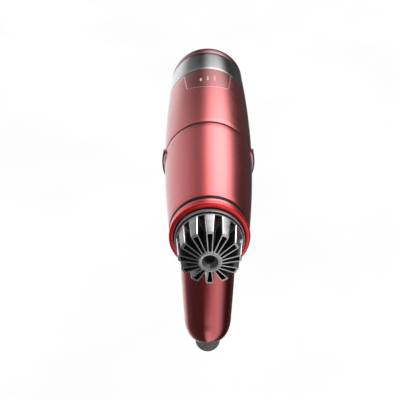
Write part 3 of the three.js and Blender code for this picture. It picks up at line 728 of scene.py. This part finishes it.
def make_collar():
    """Two thin steps of metal round the petals, with a near-black band of painted shade in the groove
    between them and one outside them.
    """
    back = high("mixer_collar").y
    bezel_front = low("outlet_bezel").y
    step_front, ring_front, groove_floor = 14.3, 15.7, 17.2
    inner, step, ring, outer = 18.6, 19.5, 19.95, 20.4
    collar = turned("mixer_ring", [
        (inner + 0.3, back), (inner, step_front, 0.1), (step, step_front, 0.12),
        (step, groove_floor), (ring, groove_floor), (ring, ring_front, 0.1),
        (outer - 0.1, ring_front, 0.14), (outer, bezel_front + 0.3), (outer, back),
    ])
    finished(collar, "nozzle_head", COLLAR_METAL, "mixer_collar", slot="gunmetal")
    for name, radius, front, length in (
        ("collar_groove_painted_shade", step, step_front + 0.2, 2.6),
        ("collar_shadow", outer, bezel_front - 0.15, 2),
    ):
        band = turned(name, [
            (radius - 0.2, front), (radius + 0.1, front, 0.04), (radius + 0.1, front + length),
            (radius - 0.2, front + length),
        ])
        finished(band, "nozzle_head", SHADE_BLACK, slot="black_plastic")


def make_bezel():
    """A bright red bead, and a plain band in the barrel's paint behind it."""
    front, back = low("outlet_bezel").y, high("outlet_bezel").y
    inner, outer, bead_share = PETAL_BASE_RADIUS + 1.8, outline(back), 0.56
    band = front + bead_share * (back - front)
    bead = outer + 0.3
    bezel = turned("bezel_bead", [
        (inner, band + 0.2), (inner, front + 0.2, 0.3), (inner + 0.7, front, 0.6),
        (bead, front, 1.5), (bead, band - 0.1, 0.9), (outer - 0.5, band, 0.2),
        (outer - 0.6, band + 0.2),
    ])
    finished(bezel, "nozzle_head", BEZEL_RED, "outlet_bezel", slot="red_gloss")
    sleeve = turned("bezel_band", [
        (inner, back, 0.1), (inner, band + 0.2), (outer - 0.6, band + 0.2),
        (outer - 0.45, band + 0.2), (outer - 0.15, band + 0.4, 0.2), (outer, back, 0.15),
    ])
    finished(sleeve, "nozzle_head", RED, slot="red_gloss")


def make_snap_ring():
    """The dark ring that fills the groove behind the bezel, with a fine line round its middle."""
    front, back = low("nozzle_snap_ring").y, high("nozzle_snap_ring").y
    shoulder = BARREL_FRONT - 0.25
    outer = outline(BARREL_FRONT) - 0.15
    mouth = outline(BARREL_FRONT) - 2.5
    middle, line_half = (front + shoulder) / 2, 0.25
    inner = 18.4
    ring = turned("snap_ring", [
        (inner, back, 0.4), (inner, front, 0.3), (outer - 0.1, front, 0.15),
        (outer - 0.05, middle - line_half, 0.2), (outer - 0.4, middle, 0.2),
        (outer - 0.05, middle + line_half, 0.2), (outer, shoulder, 0.1), (mouth, shoulder),
        (mouth, back, 0.4),
    ])
    finished(ring, "nozzle_ring", GLOSS_BLACK, "nozzle_snap_ring", slot="black_plastic")


# ---- The barrel ----

WALL = 2.2
SEAM_EASE = 0.35
WINDOW_MARGIN = 5.2
WINDOW_FRONT = low("status_window").y - WINDOW_MARGIN
WINDOW_HALF_WIDTH = 14.3
WINDOW_TAPER = 2.7
WINDOW_BOW = 3.4
WINDOW_CORNER = 2.2
WINDOW_THICKNESS = 0.9
WINDOW_SEAT = 1.3
WINDOW_CUT = (10, 40)
LEAD = 5
SLOTS = 12
SLOT_RINGS = ((8, 13, 2.6), (14.8, 20.8, 4.2))
BAR_LENGTHS = (5, 7.5, 10)
BAR_SPACING = 4.8
BAR_HALF = 0.7
FRAME_HALF = 0.3
LINE_LIFT = 0.12


def barrel_line(front, back, stations, edge):
    """The barrel's outline between two places, with its first and last corner rounded."""
    line = [(outline(y), y) for y in spread(front, back, stations)]
    line[0] += (edge,)
    line[-1] += (edge,)
    return line


def tube_profile(front, back):
    """A tube whose outside follows the barrel's outline, with rounded rims."""
    inside = [(outline(y) - WALL, y) for y in spread(back, front, 3)]
    return barrel_line(front, back, 14, 0.15) + inside


def window_outline(spare):
    """The window's shape seen from above: it narrows towards its bowed front."""
    front, back = WINDOW_FRONT - spare, BAND_FRONT + 2
    half = WINDOW_HALF_WIDTH + spare
    back_half = half + WINDOW_TAPER
    bow = [(half * t, front - WINDOW_BOW * (1 - t ** 2)) for t in spread(0.8, -0.8, 12)]
    return rounded([
        (back_half, back), (half, front, WINDOW_CORNER), *bow,
        (-half, front, WINDOW_CORNER), (-back_half, back),
    ], 8)


def window_frame():
    """A thin bright line round the window, raised a hair above the barrel."""
    path = fill_in(window_outline(0.1), 1.5)
    section = ((-1, -0.5), (-1, 0.2), (-0.5, 1), (0.5, 1), (1, 0.2), (1, -0.5))
    rows = []
    for i, (x, y) in enumerate(path):
        along = Vector(path[min(i + 1, len(path) - 1)]) - Vector(path[max(i - 1, 0)])
        across = Vector((along.y, -along.x)).normalized() * FRAME_HALF
        rows.append(raised_row(x, min(y, BAND_FRONT - 0.35), across, section))
    return lattice("window_frame", rows)


def raised_row(x, y, across, section):
    """A thin raised line's section at one place on the barrel, as (side, height) shares."""
    row = []
    for side, height in section:
        px, py = x + across.x * side, y + across.y * side
        row.append((px, py, sqrt((outline(py) + LINE_LIFT * height) ** 2 - px ** 2)))
    return row


def fill_in(path, longest):
    """A path with extra points, so that no step is longer than that."""
    made = [path[0]]
    for start, end in zip(path, path[1:]):
        count = max(1, ceil((Vector(end) - Vector(start)).length / longest))
        made += [tuple(Vector(start).lerp(Vector(end), t)) for t in spread(0, 1, count)[1:]]
    return made


def make_barrel():
    front = turned("front_shell", tube_profile(BARREL_FRONT, SEAM - SEAM_EASE))
    finished(front, "housing", RED, "front_barrel_shell", slot="red_paint")

    start, end = low("rear_barrel_shell").y + SEAM_EASE, high("rear_barrel_shell").y
    rear = turned("rear_shell", tube_profile(start, end))
    column_above = prism("window_hole", window_outline(0.25), *WINDOW_CUT, FROM_ABOVE)
    floor_front, floor_back = WINDOW_FRONT - LEAD, end + LEAD
    floor_line = [(outline(y) - WINDOW_SEAT, y) for y in spread(floor_front, floor_back, 6)]
    carve(column_above, turned("window_floor", [(0, floor_front), *floor_line, (0, floor_back)]))
    carve(rear, column_above)
    round_edges(rear, 0.16)
    finished(rear, "housing", RED, "rear_barrel_shell", slot="red_paint")


def make_window():
    """The panel in the barrel's top, flush with it, with three plain level bars on it."""
    start, end = WINDOW_FRONT - LEAD, BAND_FRONT - 0.3
    skin = turned("status_panel", [
        *((outline(y), y) for y in spread(start, end, 12)),
        *((outline(y) - WINDOW_THICKNESS, y) for y in spread(end, start, 4)),
    ])
    keep_inside(skin, prism("window_shape", window_outline(0), *WINDOW_CUT, FROM_ABOVE))
    round_edges(skin, 0.16)
    finished(skin, "housing", WINDOW, "status_window", slot="window_plastic")
    finished(window_frame(), "housing", WINDOW_LINE, slot="chrome")
    bar_front = (WINDOW_FRONT + end) / 2 - 7
    for i, length in enumerate(BAR_LENGTHS):
        add_bar(f"level_bar_{i + 1}", (i - 1) * BAR_SPACING, bar_front + length, length)


def add_bar(name, x, back, length):
    """A thin raised bar that lies on the barrel's surface."""
    section = ((-1, -0.1), (-1, 0.6), (-0.7, 1), (0.7, 1), (1, 0.6), (1, -0.1))
    rows = []
    for y in spread(back - length, back, 10):
        end_gap = min(y - (back - length), back - y)
        share = sqrt(max(0.0, 1 - max(0.0, 1 - end_gap / BAR_HALF) ** 2))
        rows.append(raised_row(x, y, Vector((BAR_HALF * max(share, 0.3), 0)), section))
    bar = lattice(name, rows, round_rows=False)
    finished(bar, "housing", BAR_INK, slot="chrome")


def make_chrome_band():
    """The polished band, with a bevel at each rim."""
    inner, chamfer = 25.3, 0.75
    band = turned("chrome_band", [
        (inner, BAND_FRONT), (outline(BAND_FRONT) - chamfer, BAND_FRONT, 0.1),
        *barrel_line(BAND_FRONT + chamfer, BAND_BACK - chamfer, 8, 0.12),
        (outline(BAND_BACK) - chamfer, BAND_BACK, 0.1), (inner, BAND_BACK),
    ])
    finished(band, "housing", CHROME, "chrome_intake_band", slot="chrome")


def make_joint_sleeve():
    """The dark sleeve inside the middle seam, with a rib that fills the gap between the two tubes."""
    front, back = low("barrel_joint_sleeve").y, high("barrel_joint_sleeve").y
    outer = high("barrel_joint_sleeve").x
    inner = outer - 1.2
    rib = outline(SEAM) - 0.06
    rib_front, rib_back = SEAM - SEAM_EASE + 0.05, low("rear_barrel_shell").y + SEAM_EASE - 0.05
    sleeve = turned("joint_sleeve", [
        (inner, front, 0.3), (outer, front, 0.3), (outer, rib_front), (rib, rib_front),
        (rib, rib_back), (outer, rib_back), (outer, back, 0.3), (inner, back, 0.3),
    ])
    finished(sleeve, "housing", SEAM_RED, "barrel_joint_sleeve", slot="black_plastic")


def make_filter_cover():
    """The dark red rim at the back, whose skirt slides inside the barrel."""
    front, back = BAND_BACK + 0.3, BARREL_BACK
    rim, rim_back = radius_at("filter_cover", front), outline(back)
    inner, skirt, skirt_front = 22.9, 24.6, low("filter_cover").y
    cover = turned("filter_rim", [
        (inner, skirt_front, 0.3), (skirt, skirt_front, 0.3), (skirt, front),
        (rim - 0.1, front, 0.35), ((rim + rim_back) / 2 + 0.15, (front + back) / 2),
        (rim_back + 0.1, back, 1.7), (inner + 0.9, back, 0.4), (inner, back - 1.2, 0.3),
    ])
    finished(cover, "filter_cap", RIM_RED, "filter_cover", slot="red_paint")


def make_grille():
    """The disc in the filter cover, with a dished middle and two rings of slots."""
    radius, back = high("filter_grille").x, high("filter_grille").y
    front, dish = back - 2, back - 0.7
    disc = turned("grille", [
        (0, front), (radius, front, 0.2), (radius, back - 0.2, 0.2), (21.6, back, 0.3),
        (7, back, 0.6), (6, dish, 0.6), (0, dish),
    ])
    cutters = []
    for ring_index, (inner, outer, width) in enumerate(SLOT_RINGS):
        for k in range(SLOTS):
            angle = 2 * pi * (k + 0.5 * ring_index) / SLOTS
            shape = obround(width, outer - inner, 6)
            place = Matrix.Rotation(angle, 4, "Y") @ Matrix.Translation((0, 0, (inner + outer) / 2))
            cutters.append(prism(f"slot_{ring_index}_{k}", shape, front - 4, back + 2, place))
    carve(disc, *cutters)
    round_edges(disc, 0.18)
    finished(disc, "filter_cap", GUNMETAL, "filter_grille", slot="gunmetal")


# ---- The saddle ----

SADDLE_ROUNDING = 0.45
FILLET = 7
SADDLE_RADIUS = high("handle_saddle").x
SADDLE_LIP = low("handle_saddle").y
EAR = high("handle_saddle").z


def quadratic(start, middle, end, count):
    """Points along a curve that a middle point pulls out."""
    return [
        (Vector(start) * (1 - t) ** 2 + Vector(middle) * 2 * t * (1 - t) + Vector(end) * t ** 2)
        for t in spread(0, 1, count)
    ]


def saddle_side():
    """The saddle's rear edge as (y, z) points from its ear down to the barrel's underside."""
    bend, tail = (SADDLE_LIP + 32, -14), (160, -45)
    upper = quadratic((SADDLE_LIP, EAR), (SADDLE_LIP + 16, EAR - 3), bend, 24)
    lower = quadratic(bend, (152, -24), tail, 40)
    return [p for p in upper + lower[1:] if p.y > -SADDLE_RADIUS]


def saddle_border():
    """The saddle's edge unrolled off the barrel: (turn from straight down times radius, y)."""
    side = [Vector((SADDLE_RADIUS * acos(-p.y / SADDLE_RADIUS), p.x)) for p in saddle_side()]
    side.append(Vector((0, side[-1].y + 0.2)))
    lip = [Vector((side[0].x * t, SADDLE_LIP)) for t in spread(0, 1, 30)[:-1]]
    right = lip + side
    return right + [Vector((-p.x, p.y)) for p in right[-2:0:-1]]


def on_saddle(flat, radius):
    """A point of the unrolled saddle, back on the barrel at that radius."""
    turn = flat.x / SADDLE_RADIUS
    return Vector((radius * sin(turn), flat.y, -radius * cos(turn)))


def neck_point(angle, down, radius):
    """A point on the neck: angle 0 faces forwards, positive to the right."""
    return HANDLE @ Vector((radius * sin(angle), -radius * cos(angle), -down))


def neck_meets_barrel(angle, radius):
    """How far down the handle's axis the neck's wall meets the saddle's surface."""
    upper, lower = 5, 60
    for _ in range(40):
        middle = (upper + lower) / 2
        p = neck_point(angle, middle, radius)
        if hypot(p.x, p.z) < SADDLE_RADIUS:
            upper = middle
        else:
            lower = middle
    return upper


def make_saddle():
    """The saddle's skin runs from the neck's lower rim, through a fillet, to the border on the barrel."""
    border = saddle_border()
    neck_radius = HANDLE_SPREAD + 0.2
    centre = Vector((0, handle_top.y - 4))
    columns = []
    for edge in border:
        away = edge - centre
        angle = atan2(away.x, -away.y)
        meet_down = neck_meets_barrel(angle, neck_radius)
        meet = neck_point(angle, meet_down, neck_radius)
        meet_flat = Vector((SADDLE_RADIUS * atan2(meet.x, -meet.z), meet.y))
        room = (edge - meet_flat).length
        fillet = min(FILLET, 0.55 * room)
        down_room = COLLAR_END - 1.5 - meet_down
        wall_top = neck_point(angle, meet_down + min(fillet, 0.8 * down_room), neck_radius)
        column_points = [
            neck_point(angle, COLLAR_END, 18),
            neck_point(angle, COLLAR_END, handle_radius(COLLAR_END) - 0.35),
            neck_point(angle, COLLAR_END - 0.1, handle_radius(COLLAR_END) - 0.1),
            neck_point(angle, COLLAR_END - 0.35, handle_radius(COLLAR_END)),
        ]
        column_points += [column_points[-1].lerp(wall_top, t) for t in (0.33, 0.67)]
        outward = (edge - meet_flat).normalized() * SADDLE_ROUNDING
        first_flat, last_flat = meet_flat.lerp(edge, fillet / room), edge - outward
        column_points += quadratic(wall_top, meet, on_saddle(first_flat, SADDLE_RADIUS), 10)
        column_points += [
            on_saddle(first_flat.lerp(last_flat, t), SADDLE_RADIUS) for t in spread(0, 1, 12)[1:]
        ]
        for a in spread(0, pi / 2, 4)[1:]:
            radius = SADDLE_RADIUS - SADDLE_ROUNDING * (1 - cos(a))
            column_points.append(on_saddle(last_flat + outward * sin(a), radius))
        column_points.append(on_saddle(edge, outline(edge.y) - 0.2))
        columns.append(column_points)
    saddle = lattice("saddle", list(zip(*columns)), sharp=60)
    finished(saddle, "housing", RED, "handle_saddle", slot="red_paint")


def saddle_ring(name, inner, outer, thickness):
    """A ring in front of the saddle, from ear to ear under the barrel, that thins towards its ends."""
    front, back = SADDLE_LIP - thickness, SADDLE_LIP - 0.05
    limit = acos(-EAR / SADDLE_RADIUS)
    section = rounded([(inner, front), (outer, front, 0.1), (outer, back, 0.1), (inner, back)])
    rows = []
    for turn in spread(-limit, limit, 120):
        thin = min(1.0, (limit - abs(turn)) / 0.12 + 0.05)
        radii = [inner + (radius - inner) * thin for radius, _ in section]
        rows.append([
            (radius * sin(turn), y, -radius * cos(turn)) for radius, (_, y) in zip(radii, section)
        ])
    return lattice(name, rows)


def make_saddle_trim():
    """A black edge round the saddle's front, painted shade where that front face lies in shadow, and inside
    it a pale pink bevel, a painted highlight.
    """
    step = SADDLE_RADIUS - 0.75
    # Black: painted shade on the saddle's front face.
    trim = saddle_ring("saddle_edge_painted_shade", step, SADDLE_RADIUS + 0.02, 0.6)
    finished(trim, "housing", BLACK, "saddle_trim", slot="black_plastic")
    # Pale pink: a painted highlight on the bevel inside the edge.
    lip = saddle_ring("saddle_lip_painted_highlight", outline(SADDLE_LIP) - 0.1, step - 0.04, 0.4)
    finished(lip, "housing", LIP_HIGHLIGHT, slot="red_paint")


# ---- The handle ----

PANEL_TOP = 52
PANEL_BOTTOM = 110
PANEL_WIDTH = 14
PANEL_MIDDLE = -(PANEL_TOP + PANEL_BOTTOM) / 2
SIDE_GAP = 0.15
HANDLE_HOLE = 6.9
HANDLE_CUT = (5, 30)
SLIDER_TRAVEL = 7
KEY_RADIUS = 4.2
KEY_RISE = 0.9


def grip_line(inset):
    """The handle's outline as (radius, distance down), from its top to its rounded end."""
    sides = [(handle_radius(d) - inset, d) for d in spread(COLLAR_END + 0.3, GRIP_END, 24)]
    reach = handle_radius(GRIP_END) - END_RADIUS
    drop = HANDLE_END - GRIP_END - inset
    ends = [
        (END_RADIUS - inset + reach * cos(a), GRIP_END + drop * sin(a))
        for a in spread(0, pi / 2, 12)[1:]
    ]
    return sides + ends + [(HANDLE_HOLE, GRIP_END + drop)]


def half_shell(name, facing):
    """One half of the handle: facing is -1 for the front and 1 for the back."""
    turns = spread(-pi / 2, pi / 2, 72)

    def half_ring(point, turns):
        radius, down = point
        return [(radius * sin(t), facing * (radius * cos(t) + SIDE_GAP), -down) for t in turns]

    rows = [
        half_ring(outer, turns) + half_ring(inner, turns[::-1])
        for outer, inner in zip(grip_line(0), grip_line(WALL))
    ]
    width = len(rows[0])
    faces = quads(rows)
    for base in (0, (len(rows) - 1) * width):
        last = base + width - 1
        faces += [(base + j, base + j + 1, last - 1 - j, last - j) for j in range(len(turns) - 1)]
    return mesh_piece(name, [p for row in rows for p in row], faces, HANDLE)


def make_handle():
    front = half_shell("handle_front", -1)
    round_edges(front, 0.22, angle=60)
    finished(front, "housing", HANDLE_RED, "handle_front_shell", slot="red_paint")

    back = half_shell("handle_back", 1)
    hole = prism("panel_hole", panel_shape(0), *HANDLE_CUT, HANDLE)
    seats = []
    for i in (1, 2):
        place = handle_place(f"handle_screw_{i}")
        surface = handle_radius(-place.z)
        seats.append(upright_rod(f"seat_{i}", 3.2, place.z, surface - 1.3, surface + 5))
    carve(back, hole, *seats)
    round_edges(back, 0.22, angle=50)
    finished(back, "housing", HANDLE_RED, "handle_back_shell", slot="red_paint")


def panel_shape(inset):
    """The control panel's outline on the handle's back, in x and z."""
    shape = obround(PANEL_WIDTH - inset, PANEL_BOTTOM - PANEL_TOP - inset, 24)
    return [(x, z + PANEL_MIDDLE) for x, z in shape]


def facing_back(z):
    """A frame at that height on the handle's axis, whose own z runs to the handle's back."""
    return HANDLE @ Matrix.Translation((0, 0, z)) @ Matrix.Rotation(-pi / 2, 4, "X")


def upright_rod(name, radius, z, start, end):
    """A rod across the handle, from front to back."""
    around = spread(0, 2 * pi, 48)[:-1]
    shape = [(radius * cos(a), z + radius * sin(a)) for a in around]
    return prism(name, shape, start, end, HANDLE)


def make_panel():
    """The control panel: a strip of the handle's surface, sunk a little, with holes for the controls."""
    surface = [(handle_radius(d) - 0.35, -d) for d in spread(PANEL_TOP - 4, PANEL_BOTTOM + 4, 30)]
    inside = [(radius - 1.6, z) for radius, z in reversed(surface[::6])]
    panel = turned("control_strip", surface + inside, HANDLE, segments=240, axis="Z")
    keep_inside(panel, prism("strip_shape", panel_shape(0.6), *HANDLE_CUT, HANDLE))
    slot_middle = handle_place("power_slider").z + SLIDER_TRAVEL / 2
    slot_shape = [(x, z + slot_middle) for x, z in obround(5, SLIDER_TRAVEL + 8, 10)]
    cutters = [prism("slider_slot", slot_shape, *HANDLE_CUT, HANDLE)]
    for name in ("speed", "heat", "cool"):
        z = handle_place(f"{name}_button").z
        cutters.append(upright_rod(f"{name}_hole", KEY_RADIUS + 0.3, z, *HANDLE_CUT))
    carve(panel, *cutters)
    round_edges(panel, 0.25, angle=50)
    finished(panel, "housing", BLACK, "control_panel", slot="black_plastic")
    # A dark sheet close under the panel, so that no light shows through the slots.
    blind = block("panel_blind", (11, 0.4, 56), (0, 14.2, PANEL_MIDDLE))
    finished(blind, "housing", SHADE_BLACK, slot="black_plastic")


def make_button(name, material, marks):
    """A round button with a dished top and a small raised mark."""
    z = handle_place(f"{name}_button").z
    top = handle_radius(-z) + KEY_RISE
    place = facing_back(z)
    cap = turned(f"{name}_cap", [
        (0, top - 4), (KEY_RADIUS, top - 4), (KEY_RADIUS, top, 0.6), (3.3, top, 0.5),
        (2.2, top - 0.45, 1.2), (0, top - 0.6),
    ], place, SMALL_SEGMENTS, axis="Z")
    body = f"{name}_key"
    finished(cap, body, material, f"{name}_button", slot="gunmetal" if name != "cool" else "blue_plastic")
    for i in range(marks):
        x = (i - (marks - 1) / 2) * 1.3
        dot = turned(f"{name}_dot_{i + 1}", [
            (0, top - 0.7), (0.38, top - 0.7), (0.38, top - 0.36, 0.12), (0, top - 0.33),
        ], place @ Matrix.Translation((x, 0, 0)), 24, axis="Z")
        finished(dot, body, BAR_INK, slot="chrome")


def make_slider():
    """The power switch's thumb piece, with ridges across it."""
    z = handle_place("power_slider").z
    surface = handle_radius(-z)
    base = block("slider_base", (7, 1.2, 8), (0, surface + 0.75, z), 0.45)
    finished(base, "power_knob", GUNMETAL, slot="gunmetal")
    stem = block("slider_stem", (4.4, 3, 6), (0, surface - 1, z), 0.2)
    finished(stem, "power_knob", BLACK, "power_slider", slot="gunmetal")
    for i in range(4):
        place = (0, surface + 1.35, z + (i - 1.5) * 1.6)
        ridge = block(f"slider_ridge_{i + 1}", (5.6, 0.5, 0.7), place, 0.2)
        finished(ridge, "power_knob", GUNMETAL, slot="gunmetal")


def make_screw(index):
    """A pan-head screw with a cross recess, sunk in its seat."""
    place = handle_place(f"handle_screw_{index}")
    top = handle_radius(-place.z) - 0.1
    head = turned(f"screw_{index}", [
        (0, top - 1.1), (2.7, top - 1.1), (2.7, top - 0.5, 0.25),
        (1.6, top - 0.05, 0.5), (0, top),
    ], facing_back(place.z), SMALL_SEGMENTS, axis="Z")
    cross = [
        block(f"cross_{index}_{i}", size, (0, top, place.z))
        for i, size in enumerate(((0.7, 1.3, 3), (3, 1.3, 0.7)))
    ]
    carve(head, *cross)
    round_edges(head, 0.06)
    finished(head, "housing", STEEL, f"handle_screw_{index}", slot="steel")


def make_gland():
    """The cord gland: a soft round bowl with an open hole for the cord."""
    hole, lip, neck, flange, radius = 4.2, 5.4, 6.6, 8.4, 9.35
    middle, end = -HANDLE_END - 3.4, -HANDLE_END
    around = spread(acos(lip / radius), 0, 20)
    bowl = [(radius * cos(a), middle - radius * sin(a)) for a in around]
    gland = turned("gland_tip", [
        (hole, bowl[0][1], 0.3), (lip - 0.3, bowl[0][1]), *bowl, (radius, end - 0.3, 0.25),
        (neck, end - 0.3), (neck, end + 3), (flange, end + 3.2), (flange, end + 4.4),
        (hole, end + 4.4),
    ], HANDLE, 96, axis="Z")
    finished(gland, "gland", RUBBER, "cord_gland", slot="dark_rubber")


# ---- The inner pieces, which keep their CAD shape ----

CARRIED = {
    BLACK: ["inlet_frame", "filter_mesh_clip", "speed_switch", "heat_switch", "cool_switch", "power_switch",
            "filter_capacitor", "ion_module", "terminal_block", "fan_shroud", "impeller"],
    WIRE_MESH: ["filter_mesh"],
    STEEL: ["heater_coil", "thermal_cutout", "front_bearing", "rear_bearing", "motor_shaft"],
    DARK_STEEL: ["motor_can", "motor_end_cap", "stator_core", "rotor_magnet"],
    COPPER: ["stator_coil_1", "stator_coil_2", "stator_coil_3"],
    MICA: ["heater_sleeve", "heater_cross"],
    BOARD: ["control_board"],
    FOAM: ["inlet_foam"],
    RUBBER: ["front_motor_damper", "rear_motor_damper"],
}


def dress_carried():
    for material, names in CARRIED.items():
        for name in names:
            piece = frame["nodes"][name]
            piece.data.materials.clear()
            piece.data.materials.append(material)
            modifier(piece, "WELD", merge_threshold=1e-5)
            round_edges(piece, 0.12)


add_camera()
add_floor()
add_studio()
make_petals()
make_hub()
make_mixer_cone()
make_collar()
make_bezel()
make_snap_ring()
make_barrel()
make_window()
make_chrome_band()
make_joint_sleeve()
make_filter_cover()
make_grille()
make_saddle()
make_saddle_trim()
make_handle()
make_panel()
make_button("speed", GUNMETAL, 1)
make_button("heat", GUNMETAL, 2)
make_button("cool", BLUE, 3)
make_slider()
for screw in (1, 2):
    make_screw(screw)
make_gland()
dress_carried()
bpy.context.scene.view_settings.view_transform = "Standard"
